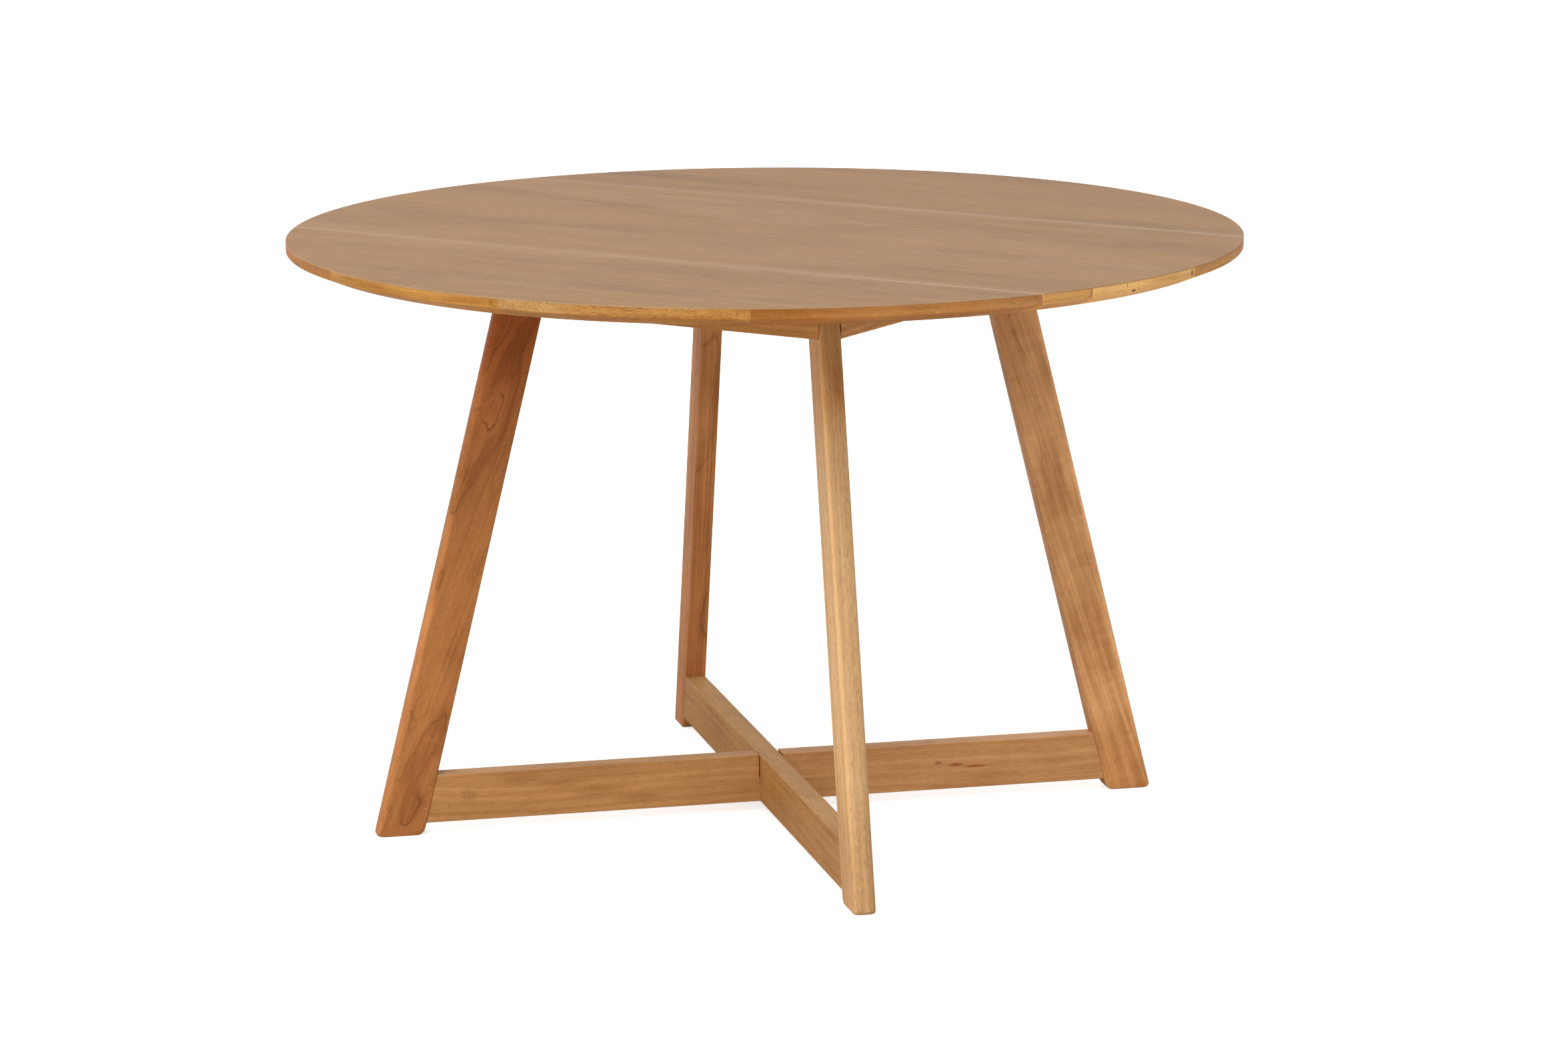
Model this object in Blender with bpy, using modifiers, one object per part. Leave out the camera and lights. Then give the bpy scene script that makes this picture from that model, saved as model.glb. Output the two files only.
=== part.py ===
"""Round drop-leaf table on a fixed cross base.

A fixed centre section carries two hinged leaves. Square apron rails butt against four splayed
board legs, and two stretchers halved into each other tie the legs together above the floor.
Metres, +Z up. The origin is on the floor under the middle of the top. +X runs along the seams.
"""

import math

import bmesh
import bpy
from mathutils import Matrix, Vector

# Driving dimensions
TABLE_HEIGHT = 0.750
TOP_RADIUS = 0.600
TOP_THICKNESS = 0.024
SEAM_OFFSET = 0.260          # middle of the top to each seam, which is also the hinge line
SEAM_GAP = 0.0008
BOARD_THICKNESS = 0.028      # legs and stretchers
LEG_WIDTH = 0.0586           # across the board, square to its length
LEG_SLOPE = 0.2455           # outward run per unit of drop
FOOT_RADIUS = 0.5105         # outer edge of a leg at the floor, from the table's axis
STRETCHER_BOTTOM = 0.0155
STRETCHER_HEIGHT = 0.061
APRON_HALF = 0.2505          # middle of the table to a rail's outer face
RAIL_THICKNESS = 0.020
RAIL_HEIGHT = 0.058
CLEARANCE = 0.0003           # between pieces that touch

# Top
VENEER = 0.0008
LIPPING_WIDTH = 0.045
EDGE_BAND = 0.0128           # upright part of the edge
UNDER_BEVEL = 0.028          # how far the underside bevel runs in
TOP_STEPS = 120
FRONT_JOINTS = (-118.8, -89.4, -59.7)
REAR_JOINTS = (58.0, 90.0, 121.0)
RIGHT_JOINTS = (-18.4, 1.0)
LEFT_JOINTS = (178.0,)

# Legs, stretchers and rails
LEG_OUTER_ROUND = 0.008
LEG_INNER_ROUND = 0.0015
FOOT_INNER_ROUND = 0.008
FOOT_OUTER_ROUND = 0.005
STRETCHER_ROUND = 0.0015
RAIL_ROUND = 0.001
HALVING_PLAY_LEFT = 0.0010   # spare width of the lower stretcher's notch, towards its left end
HALVING_PLAY_RIGHT = 0.0024

# Corner blocks and their bolts
BLOCK_FACE = 0.235           # inner face of a corner block, from the table's axis
BLOCK_HEIGHT = 0.052
BOLT_HEIGHT = 0.700
BOLT_RADIUS = 0.004
BOLT_REACH = 0.068
BOLT_HEAD_RADIUS = 0.0065
BOLT_HEAD_HEIGHT = 0.005
BOLT_FLANGE_RADIUS = 0.009
BOLT_FLANGE = 0.002

# Hinges
HINGE_X = 0.400
HINGE_DROP = 0.0038          # underside of the top to the pin's centre
HINGE_LENGTH = 0.050
HINGE_WING = 0.028
HINGE_KNUCKLE = 0.016        # length of the middle knuckle
KNUCKLE_RADIUS = 0.0035
KNUCKLE_SPACE = 0.0042       # wing's edge to the pin's centre beside the other wing's knuckle
HINGE_PIN_RADIUS = 0.0015
HINGE_PLATE_LOW = 0.0017
HINGE_PLATE_HIGH = 0.0033

# Leaf stays
STAY_X = 0.120
STAY_DROP = 0.030            # hinge pin to the stay's pivot, straight down
STAY_LENGTH = 0.130
STAY_HALF_WIDTH = 0.0045
STAY_THICKNESS = 0.004
STAY_STUD_RADIUS = 0.002
STAY_HEAD_RADIUS = 0.004
STAY_HEAD = 0.002
STAY_LUG = 0.0025
STAY_BASE = 0.002
STAY_BASE_WIDTH = 0.032
STAY_BASE_HEIGHT = 0.024
WEAR_PLATE_THICKNESS = 0.0017
WEAR_PLATE_WIDTH = 0.024
WEAR_PLATE_START = 0.112     # from the hinge pin, along the leaf
WEAR_PLATE_LENGTH = 0.064

ROUND_STEPS = 16

UNDERSIDE = TABLE_HEIGHT - TOP_THICKNESS
HINGE_HEIGHT = UNDERSIDE - HINGE_DROP
LEAN = math.atan(LEG_SLOPE)
LEG_RUN = LEG_WIDTH / math.cos(LEAN)         # the leg's width measured level
SEAM_ANGLE = math.degrees(math.asin(SEAM_OFFSET / TOP_RADIUS))
WEAR_PLATE_LOW = HINGE_DROP - CLEARANCE - WEAR_PLATE_THICKNESS
STAY_NOSE_DROP = STAY_HALF_WIDTH + CLEARANCE - WEAR_PLATE_LOW
STAY_RISE = math.asin((STAY_DROP - STAY_NOSE_DROP) / STAY_LENGTH)

SIDES = {"front": -1, "rear": 1}
HANDS = {"left": -1, "right": 1}
CORNERS = {"rear_right": 45, "rear_left": 135, "front_left": 225, "front_right": 315}


# ---------------------------------------------------------------- scene and materials

def clear_scene():
    for obj in list(bpy.data.objects):
        bpy.data.objects.remove(obj, do_unlink=True)


def new_collection(name):
    collection = bpy.data.collections.new(name)
    bpy.context.scene.collection.children.link(collection)
    return collection


def new_material(name, color, roughness, metallic=0.0):
    material = bpy.data.materials.new(name)
    material.use_nodes = True
    shader = material.node_tree.nodes["Principled BSDF"]
    shader.inputs["Base Color"].default_value = (*color, 1.0)
    shader.inputs["Roughness"].default_value = roughness
    shader.inputs["Metallic"].default_value = metallic
    material.diffuse_color = (*color, 1.0)
    return material


# ---------------------------------------------------------------- mesh tools

def mesh_from(bm, name):
    mesh = bpy.data.meshes.new(name)
    bm.to_mesh(mesh)
    bm.free()
    return mesh


def box_bmesh(low, high):
    low, high = Vector(low), Vector(high)
    bm = bmesh.new()
    bmesh.ops.create_cube(bm, size=1.0)
    bmesh.ops.scale(bm, vec=high - low, verts=bm.verts)
    bmesh.ops.translate(bm, vec=(low + high) / 2, verts=bm.verts)
    return bm


def rod_bmesh(radius, low, high, steps=ROUND_STEPS):
    """A cylinder about the X axis, from x = low to x = high."""
    bm = bmesh.new()
    bmesh.ops.create_cone(bm, cap_ends=True, segments=steps, radius1=radius, radius2=radius,
                          depth=high - low)
    turn = Matrix.Rotation(math.pi / steps, 4, "Z")
    bmesh.ops.transform(bm, matrix=Matrix.Rotation(math.pi / 2, 4, "Y") @ turn, verts=bm.verts)
    bmesh.ops.translate(bm, vec=((low + high) / 2, 0, 0), verts=bm.verts)
    return bm


def cut_off(bm, point, normal):
    """Removes what lies on the normal's side of a plane and closes the cut."""
    geometry = list(bm.verts) + list(bm.edges) + list(bm.faces)
    bmesh.ops.bisect_plane(bm, geom=geometry, dist=1e-7, plane_co=point, plane_no=normal,
                           clear_outer=True)
    open_edges = [edge for edge in bm.edges if edge.is_boundary]
    bmesh.ops.holes_fill(bm, edges=open_edges, sides=0)
    bmesh.ops.recalc_face_normals(bm, faces=bm.faces)


def round_edges(bm, chosen, width, steps):
    edges = [edge for edge in bm.edges if chosen(edge)]
    bmesh.ops.bevel(bm, geom=edges, offset=width, offset_type="OFFSET", segments=steps,
                    profile=0.5, affect="EDGES", clamp_overlap=True)


def middle(edge):
    return (edge.verts[0].co + edge.verts[1].co) / 2


def runs_along(edge, direction):
    run = edge.verts[1].co - edge.verts[0].co
    return abs(run.normalized().dot(Vector(direction).normalized())) > 0.999


def evaluated_mesh(obj, name):
    """The object's mesh with its modifiers applied. The object itself is removed."""
    bpy.context.view_layer.update()
    graph = bpy.context.evaluated_depsgraph_get()
    mesh = bpy.data.meshes.new_from_object(obj.evaluated_get(graph))
    mesh.name = name
    bpy.data.objects.remove(obj, do_unlink=True)
    return mesh


def combined(name, base, steps):
    """base joined with, or cut by, each (operation, bmesh) of steps."""
    obj = bpy.data.objects.new(name, mesh_from(base, name))
    cutters.objects.link(obj)
    helpers = []
    for number, (operation, shape) in enumerate(steps):
        helper = bpy.data.objects.new(f"{name}_helper_{number}", mesh_from(shape, name))
        helper.hide_render = True
        helper.display_type = "WIRE"
        cutters.objects.link(helper)
        helpers.append(helper)
        modifier = obj.modifiers.new(f"{operation.lower()}_{number}", "BOOLEAN")
        modifier.operation = operation
        modifier.solver = "EXACT"
        modifier.object = helper
    mesh = evaluated_mesh(obj, name)
    for helper in helpers:
        bpy.data.objects.remove(helper, do_unlink=True)
    return mesh


def turned_mesh(name, profile, steps):
    """A profile of (radius, height) turned about Z with a Screw modifier."""
    bm = bmesh.new()
    points = [bm.verts.new((radius, 0, height)) for radius, height in profile]
    for first, second in zip(points, points[1:]):
        bm.edges.new((first, second))
    obj = bpy.data.objects.new(name, mesh_from(bm, name))
    cutters.objects.link(obj)
    screw = obj.modifiers.new("turn", "SCREW")
    screw.steps = steps
    screw.render_steps = steps
    screw.use_merge_vertices = True
    screw.merge_threshold = 0.0001
    return evaluated_mesh(obj, name)


def add_part(name, mesh, material, location=(0, 0, 0), rotation=(0, 0, 0), smooth=False):
    """One sub-part. A mesh that several sub-parts share keeps the first one's material."""
    if not mesh.materials:
        mesh.materials.append(material)
    if smooth:
        mesh.shade_smooth()
        mesh.set_sharp_from_angle(angle=math.radians(30))
    obj = bpy.data.objects.new(name, mesh)
    obj.location = location
    obj.rotation_euler = rotation
    parts.objects.link(obj)
    return obj


def add_axis(name, location):
    empty = bpy.data.objects.new(name, None)
    empty.location = location
    empty.empty_display_size = 0.05
    parts.objects.link(empty)
    return empty


def hang_on(empty, objects):
    """Parents the objects to an empty on their joint's axis, and leaves them where they are."""
    bpy.context.view_layer.update()
    for obj in objects:
        obj.parent = empty
        obj.matrix_parent_inverse = empty.matrix_world.inverted()


# ---------------------------------------------------------------- the round top

def panel_profile():
    """Board and veneer: the veneer runs out over the lipping."""
    core = TOP_RADIUS - LIPPING_WIDTH
    return [(0, TABLE_HEIGHT), (TOP_RADIUS, TABLE_HEIGHT), (TOP_RADIUS, TABLE_HEIGHT - VENEER),
            (core, TABLE_HEIGHT - VENEER), (core, UNDERSIDE), (0, UNDERSIDE)]


def lipping_profile():
    high = TABLE_HEIGHT - VENEER - CLEARANCE
    inner = TOP_RADIUS - LIPPING_WIDTH + CLEARANCE
    foot = TOP_RADIUS - UNDER_BEVEL
    return [(inner, high), (TOP_RADIUS, high), (TOP_RADIUS, TABLE_HEIGHT - EDGE_BAND),
            (foot, UNDERSIDE), (inner, UNDERSIDE), (inner, high)]


def between_seams(bm, low, high):
    """Keeps the strip from y = low to y = high. None leaves that side whole."""
    if low is not None:
        cut_off(bm, (0, low, 0), (0, -1, 0))
    if high is not None:
        cut_off(bm, (0, high, 0), (0, 1, 0))


SECTIONS = {
    "centre": (-SEAM_OFFSET + SEAM_GAP / 2, SEAM_OFFSET - SEAM_GAP / 2),
    "front": (None, -SEAM_OFFSET - SEAM_GAP / 2),
    "rear": (SEAM_OFFSET + SEAM_GAP / 2, None),
}


def panel_mesh(section):
    whole = turned_mesh("panel", panel_profile(), TOP_STEPS)
    bm = bmesh.new()
    bm.from_mesh(whole)
    between_seams(bm, *SECTIONS[section])
    return mesh_from(bm, section + "_panel")


def lipping_mesh(section, start, end):
    """The stretch of edge from one angle to another, in degrees, with a joint gap at each end."""
    whole = turned_mesh("lipping", lipping_profile(), TOP_STEPS)
    bm = bmesh.new()
    bm.from_mesh(whole)
    bmesh.ops.remove_doubles(bm, verts=bm.verts, dist=0.00001)
    for angle, side in ((start, -1), (end, 1)):
        across = Vector((-math.sin(math.radians(angle)), math.cos(math.radians(angle)), 0)) * side
        cut_off(bm, -across * CLEARANCE / 2, across)
    between_seams(bm, *SECTIONS[section])
    return mesh_from(bm, section + "_lipping")


def build_top():
    pieces = {"centre": [], "front": [], "rear": []}
    names = {"centre": "centre_panel", "front": "front_leaf_panel", "rear": "rear_leaf_panel"}
    for section, name in names.items():
        pieces[section].append(add_part(name, panel_mesh(section), veneer))
    # Each run starts and ends a little past its seam, and the seam trims it.
    past = 2.0
    runs = (
        ("front", "front_lipping", -180 + SEAM_ANGLE - past, FRONT_JOINTS, -SEAM_ANGLE + past),
        ("rear", "rear_lipping", SEAM_ANGLE - past, REAR_JOINTS, 180 - SEAM_ANGLE + past),
        ("centre", "right_lipping", -SEAM_ANGLE - past, RIGHT_JOINTS, SEAM_ANGLE + past),
        ("centre", "left_lipping", 180 - SEAM_ANGLE - past, LEFT_JOINTS, 180 + SEAM_ANGLE + past),
    )
    for section, name, start, joints, end in runs:
        angles = (start, *joints, end)
        for number, (first, second) in enumerate(zip(angles, angles[1:]), start=1):
            mesh = lipping_mesh(section, first, second)
            pieces[section].append(add_part(f"{name}_{number}", mesh, edging))
    return pieces


# ---------------------------------------------------------------- base, in a leg's own plane
# These meshes have +X pointing outward along a diagonal, and are turned to their corner.

def leg_outer(height):
    return FOOT_RADIUS - LEG_SLOPE * height


def cut_at_leg(bm, gap, side=1):
    """Trims to a leg's inner edge, less a gap. side is -1 for the leg at the -X end."""
    point = (side * (FOOT_RADIUS - LEG_RUN - gap), 0, 0)
    cut_off(bm, point, Vector((side, 0, LEG_SLOPE)).normalized())


def leg_mesh():
    half = TABLE_HEIGHT * 0.6
    bm = box_bmesh((-LEG_WIDTH / 2, -BOARD_THICKNESS / 2, -half),
                   (LEG_WIDTH / 2, BOARD_THICKNESS / 2, half))
    centre_height = TABLE_HEIGHT / 2
    centre = Vector((leg_outer(centre_height) - LEG_RUN / 2, 0, centre_height))
    bmesh.ops.transform(bm, matrix=Matrix.Translation(centre) @ Matrix.Rotation(-LEAN, 4, "Y"),
                        verts=bm.verts)
    cut_off(bm, (0, 0, 0), (0, 0, -1))
    cut_off(bm, (0, 0, UNDERSIDE - CLEARANCE), (0, 0, 1))

    def in_outer_half(edge):
        spot = middle(edge)
        return leg_outer(spot.z) - spot.x < LEG_RUN / 2

    def at_foot(edge):
        return middle(edge).z < 1e-5 and runs_along(edge, (0, 1, 0))

    def long_arris(edge):
        on_side = min(abs(vert.co.y) for vert in edge.verts) > BOARD_THICKNESS / 2 - 1e-5
        return on_side and runs_along(edge, (-LEG_SLOPE, 0, 1))

    def side_arris(edge):
        """The arrises between the outer edge and the faces, round the foot's corner too."""
        on_side = min(abs(vert.co.y) for vert in edge.verts) > BOARD_THICKNESS / 2 - 1e-5
        height = middle(edge).z
        return on_side and 1e-5 < height < UNDERSIDE - 0.001 and in_outer_half(edge)

    round_edges(bm, lambda edge: at_foot(edge) and in_outer_half(edge), FOOT_OUTER_ROUND, 2)
    round_edges(bm, lambda edge: at_foot(edge) and not in_outer_half(edge), FOOT_INNER_ROUND, 3)
    round_edges(bm, side_arris, LEG_OUTER_ROUND, 3)
    round_edges(bm, lambda edge: long_arris(edge) and not in_outer_half(edge),
                LEG_INNER_ROUND, 1)
    shaft = rod_bmesh(BOLT_RADIUS + CLEARANCE, 0, BLOCK_FACE + BOLT_REACH + 0.002)
    bmesh.ops.translate(shaft, vec=(0, 0, BOLT_HEIGHT), verts=shaft.verts)
    return combined("leg", bm, [("DIFFERENCE", shaft)])


def stretcher_mesh(name, notch_low, notch_high, notch_side):
    """A stretcher with half its height cut away between two places along it.

    notch_side is 1 for a notch open at the top, and -1 for one open underneath.
    """
    top = STRETCHER_BOTTOM + STRETCHER_HEIGHT
    bm = box_bmesh((-FOOT_RADIUS, -BOARD_THICKNESS / 2, STRETCHER_BOTTOM),
                   (FOOT_RADIUS, BOARD_THICKNESS / 2, top))
    round_edges(bm, lambda edge: runs_along(edge, (1, 0, 0)), STRETCHER_ROUND, 2)
    cut_at_leg(bm, CLEARANCE, 1)
    cut_at_leg(bm, CLEARANCE, -1)
    half_way = (STRETCHER_BOTTOM + top) / 2
    beyond = 0.01
    if notch_side > 0:
        low, high = half_way - CLEARANCE / 2, top + beyond
    else:
        low, high = STRETCHER_BOTTOM - beyond, half_way + CLEARANCE / 2
    notch = box_bmesh((notch_low, -BOARD_THICKNESS, low), (notch_high, BOARD_THICKNESS, high))
    return combined(name, bm, [("DIFFERENCE", notch)])


def rail_mesh():
    """A rail along X, with its outer face towards -Y and its ends mitred to the legs' sides."""
    low = UNDERSIDE - RAIL_HEIGHT
    bm = box_bmesh((-APRON_HALF, -APRON_HALF, low),
                   (APRON_HALF, -APRON_HALF + RAIL_THICKNESS, UNDERSIDE - CLEARANCE))
    round_edges(bm, lambda edge: runs_along(edge, (1, 0, 0)) and middle(edge).z < low + 1e-5,
                RAIL_ROUND, 1)
    for side in (-1, 1):
        normal = Vector((side, 1, 0)).normalized()
        cut_off(bm, -normal * (BOARD_THICKNESS / 2 + CLEARANCE), normal)
    return mesh_from(bm, "rail")


def block_mesh():
    """A block that fills the corner behind a leg, bored for its bolt."""
    high = UNDERSIDE - CLEARANCE
    reach = APRON_HALF - RAIL_THICKNESS
    bm = box_bmesh((BLOCK_FACE, -reach, high - BLOCK_HEIGHT), (FOOT_RADIUS, reach, high))
    cut_at_leg(bm, CLEARANCE)
    for side in (-1, 1):
        normal = Vector((1, side, 0)).normalized()
        cut_off(bm, normal * (reach - CLEARANCE), normal)
    shaft = rod_bmesh(BOLT_RADIUS + CLEARANCE, 0, FOOT_RADIUS)
    bmesh.ops.translate(shaft, vec=(0, 0, BOLT_HEIGHT), verts=shaft.verts)
    return combined("corner_block", bm, [("DIFFERENCE", shaft)])


def bolt_mesh():
    """A flanged bolt about Z, its head at the top and the flange's seat at the origin."""
    seat = CLEARANCE
    head = seat + BOLT_FLANGE + BOLT_HEAD_HEIGHT
    profile = [(0, head), (BOLT_HEAD_RADIUS - 0.001, head), (BOLT_HEAD_RADIUS, head - 0.001),
               (BOLT_HEAD_RADIUS, seat + BOLT_FLANGE), (BOLT_FLANGE_RADIUS, seat + BOLT_FLANGE),
               (BOLT_FLANGE_RADIUS, seat), (BOLT_RADIUS, seat),
               (BOLT_RADIUS, -BOLT_REACH + 0.001), (BOLT_RADIUS - 0.001, -BOLT_REACH),
               (0, -BOLT_REACH)]
    return turned_mesh("leg_bolt", profile, ROUND_STEPS)


def build_base():
    leg = leg_mesh()
    block = block_mesh()
    bolt = bolt_mesh()
    for corner, degrees in CORNERS.items():
        turn = math.radians(degrees)
        outward = Vector((math.cos(turn), math.sin(turn), 0))
        add_part("leg_" + corner, leg, leg_wood, rotation=(0, 0, turn), smooth=True)
        add_part("corner_block_" + corner, block, hidden_wood, rotation=(0, 0, turn))
        seat = outward * BLOCK_FACE + Vector((0, 0, BOLT_HEIGHT))
        # The head faces the middle of the table.
        add_part("leg_bolt_" + corner, bolt, steel, location=seat,
                 rotation=(0, -math.pi / 2, turn), smooth=True)
    half = BOARD_THICKNESS / 2
    upper = stretcher_mesh("stretcher_upper", -half - CLEARANCE, half + CLEARANCE, -1)
    lower = stretcher_mesh("stretcher_lower", -half - HALVING_PLAY_LEFT,
                           half + HALVING_PLAY_RIGHT, 1)
    add_part("stretcher_upper", upper, stretcher_wood, rotation=(0, 0, math.radians(-45)))
    add_part("stretcher_lower", lower, stretcher_wood, rotation=(0, 0, math.radians(45)))
    rail = rail_mesh()
    for name, degrees in (("front", 0), ("right", 90), ("rear", 180), ("left", 270)):
        add_part("apron_" + name, rail, rail_wood, rotation=(0, 0, math.radians(degrees)))


# ---------------------------------------------------------------- hinges
# Hinge meshes have their pin along X at the origin and their wing towards +Y.

def wing_mesh(name, knuckles):
    """A wing with the given knuckles, each from one x to another."""
    half = HINGE_LENGTH / 2
    base = box_bmesh((-half, KNUCKLE_SPACE, HINGE_PLATE_LOW), (half, HINGE_WING, HINGE_PLATE_HIGH))
    steps = []
    for low, high in knuckles:
        web = box_bmesh((low, 0, HINGE_PLATE_LOW), (high, KNUCKLE_SPACE + 0.001, HINGE_PLATE_HIGH))
        steps.append(("UNION", web))
        steps.append(("UNION", rod_bmesh(KNUCKLE_RADIUS, low, high)))
    steps.append(("DIFFERENCE", rod_bmesh(HINGE_PIN_RADIUS + CLEARANCE, -half - 0.01, half + 0.01)))
    return combined(name, base, steps)


def build_hinges(pieces):
    half = HINGE_LENGTH / 2
    inner = HINGE_KNUCKLE / 2
    frame_wing = wing_mesh("frame_wing", [(-inner, inner)])
    outer_knuckles = [(-half, -inner - CLEARANCE), (inner + CLEARANCE, half)]
    leaf_wing = wing_mesh("leaf_wing", outer_knuckles)
    pin = mesh_from(rod_bmesh(HINGE_PIN_RADIUS, -half, half), "hinge_pin")
    for side, outward in SIDES.items():
        for hand, way in HANDS.items():
            name = f"hinge_{side}_{hand}"
            place = (way * HINGE_X, outward * SEAM_OFFSET, HINGE_HEIGHT)
            # A wing points to +Y, which is outward at the rear and inward at the front.
            leaf_turn = 0 if outward > 0 else math.pi
            add_part(name + "_frame_wing", frame_wing, zinc, place, (0, 0, leaf_turn + math.pi))
            leaf = add_part(name + "_leaf_wing", leaf_wing, zinc, place, (0, 0, leaf_turn))
            add_part(name + "_pin", pin, steel, place, smooth=True)
            pieces[side].append(leaf)


# ---------------------------------------------------------------- leaf stays
# Stay meshes have the pivot along X at the origin and the leaf's side towards +Y.

def bracket_mesh():
    """A plate on the rail with a lug and a headed stud for the arm."""
    rail = -(SEAM_OFFSET - APRON_HALF) + CLEARANCE
    lug = STAY_THICKNESS / 2 + CLEARANCE
    half_width, half_height = STAY_BASE_WIDTH / 2, STAY_BASE_HEIGHT / 2
    base = box_bmesh((-half_width, rail, -half_height), (half_width, rail + STAY_BASE, half_height))
    web = box_bmesh((lug, rail + STAY_BASE / 2, -STAY_HALF_WIDTH),
                    (lug + STAY_LUG, 0, STAY_HALF_WIDTH))
    eye = rod_bmesh(STAY_HALF_WIDTH + 0.0002, lug, lug + STAY_LUG)
    stud = rod_bmesh(STAY_STUD_RADIUS, -lug - STAY_HEAD / 2, lug + STAY_LUG / 2)
    head = rod_bmesh(STAY_HEAD_RADIUS, -lug - STAY_HEAD, -lug)
    return combined("stay_bracket", base, [("UNION", web), ("UNION", eye), ("UNION", stud),
                                           ("UNION", head)])


def arm_mesh():
    """A flat bar with round ends, bored at its pivot and pointing to +Y."""
    bm = bmesh.new()
    half = STAY_THICKNESS / 2
    for place in (0, STAY_LENGTH):
        end = rod_bmesh(STAY_HALF_WIDTH, -half, half)
        bmesh.ops.translate(end, vec=(0, place, 0), verts=end.verts)
        bm.from_mesh(mesh_from(end, "arm_end"))
    hull = bmesh.ops.convex_hull(bm, input=bm.verts)
    inside = [item for item in hull["geom_interior"] + hull["geom_unused"]
              if isinstance(item, bmesh.types.BMVert)]
    bmesh.ops.delete(bm, geom=inside, context="VERTS")
    hull_faces = set(hull["geom"])
    spare = [face for face in bm.faces if face not in hull_faces]
    bmesh.ops.delete(bm, geom=spare, context="FACES_ONLY")
    bmesh.ops.recalc_face_normals(bm, faces=bm.faces)
    bore = rod_bmesh(STAY_STUD_RADIUS + CLEARANCE, -2 * half, 2 * half)
    return combined("stay_arm", bm, [("DIFFERENCE", bore)])


def wear_plate_mesh():
    """The plate that the arm's nose bears on, placed from the hinge pin."""
    bm = box_bmesh((-WEAR_PLATE_WIDTH / 2, WEAR_PLATE_START, WEAR_PLATE_LOW),
                   (WEAR_PLATE_WIDTH / 2, WEAR_PLATE_START + WEAR_PLATE_LENGTH,
                    WEAR_PLATE_LOW + WEAR_PLATE_THICKNESS))
    round_edges(bm, lambda edge: runs_along(edge, (0, 0, 1)), 0.004, 3)
    return mesh_from(bm, "wear_plate")


def build_stays(pieces):
    bracket = bracket_mesh()
    arm = arm_mesh()
    plate = wear_plate_mesh()
    for side, outward in SIDES.items():
        turn = 0 if outward > 0 else math.pi
        for hand, way in HANDS.items():
            name = f"stay_{side}_{hand}"
            pin = Vector((way * STAY_X, outward * SEAM_OFFSET, HINGE_HEIGHT))
            pivot = pin - Vector((0, 0, STAY_DROP))
            add_part(name + "_bracket", bracket, zinc, pivot, (0, 0, turn))
            bar = add_part(name + "_arm", arm, zinc, pivot, (STAY_RISE, 0, turn))
            wear = add_part(name + "_wear_plate", plate, zinc, pin, (0, 0, turn))
            pieces[side].append(wear)
            hang_on(add_axis(name + "_axis", pivot), [bar])


# ---------------------------------------------------------------- assembly

clear_scene()
parts = new_collection("drop_leaf_table")
cutters = new_collection("cutters")

veneer = new_material("top_veneer", (0.52, 0.34, 0.19), 0.45)
edging = new_material("edge_lipping", (0.56, 0.33, 0.13), 0.45)
leg_wood = new_material("leg_wood", (0.50, 0.28, 0.13), 0.45)
stretcher_wood = new_material("stretcher_wood", (0.52, 0.29, 0.13), 0.45)
rail_wood = new_material("rail_wood", (0.46, 0.27, 0.14), 0.50)
hidden_wood = new_material("block_wood", (0.50, 0.35, 0.22), 0.60)
steel = new_material("steel", (0.55, 0.55, 0.56), 0.35, 1.0)
zinc = new_material("zinc_plate", (0.60, 0.60, 0.58), 0.40, 1.0)

sections = build_top()
build_base()
build_hinges(sections)
build_stays(sections)
for side, outward in SIDES.items():
    axis = add_axis(side + "_leaf_axis", (0, outward * SEAM_OFFSET, HINGE_HEIGHT))
    hang_on(axis, sections[side])
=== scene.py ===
"""Looks of a round drop-leaf table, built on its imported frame.

Fine meshes stand for the wooden pieces. One wood shader fits them all, in a frame of each
piece's own with X along its grain. The fittings keep their shapes and get metal and screws.
Metres, +Z up, as in the frame.
"""

import math
import random
from dataclasses import dataclass, replace

import bmesh
import bpy
from mathutils import Matrix, Vector


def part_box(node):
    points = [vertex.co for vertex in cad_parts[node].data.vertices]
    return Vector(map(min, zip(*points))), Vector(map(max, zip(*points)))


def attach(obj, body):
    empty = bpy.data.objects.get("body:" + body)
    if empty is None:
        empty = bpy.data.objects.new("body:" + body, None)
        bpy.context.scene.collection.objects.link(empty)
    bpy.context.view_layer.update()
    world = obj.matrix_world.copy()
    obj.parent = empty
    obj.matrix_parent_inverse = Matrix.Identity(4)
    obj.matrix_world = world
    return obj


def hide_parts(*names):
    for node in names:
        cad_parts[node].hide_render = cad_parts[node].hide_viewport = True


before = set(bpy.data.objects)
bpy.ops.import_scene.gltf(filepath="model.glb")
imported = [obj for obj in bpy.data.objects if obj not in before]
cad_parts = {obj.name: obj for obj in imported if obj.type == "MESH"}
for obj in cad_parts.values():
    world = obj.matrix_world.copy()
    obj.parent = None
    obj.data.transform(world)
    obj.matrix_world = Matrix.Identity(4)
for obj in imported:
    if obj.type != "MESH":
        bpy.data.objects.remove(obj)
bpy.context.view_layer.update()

# Sizes that the frame gives
panel_low, panel_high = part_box("centre_panel")
TOP = panel_high.z
UNDERSIDE = panel_low.z
RADIUS = panel_high.x
CENTRE_EDGE = panel_high.y                        # the centre section's edge at a seam
LEAF_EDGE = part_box("rear_leaf_panel")[0].y        # a leaf's edge at its seam
SEAM = (CENTRE_EDGE + LEAF_EDGE) / 2
RAIL_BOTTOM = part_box("apron_front")[0].z
RAIL_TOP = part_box("apron_front")[1].z
RAIL_OUTER = -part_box("apron_front")[0].y
RAIL_INNER = -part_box("apron_front")[1].y
STRETCHER_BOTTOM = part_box("stretcher_upper")[0].z
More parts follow.
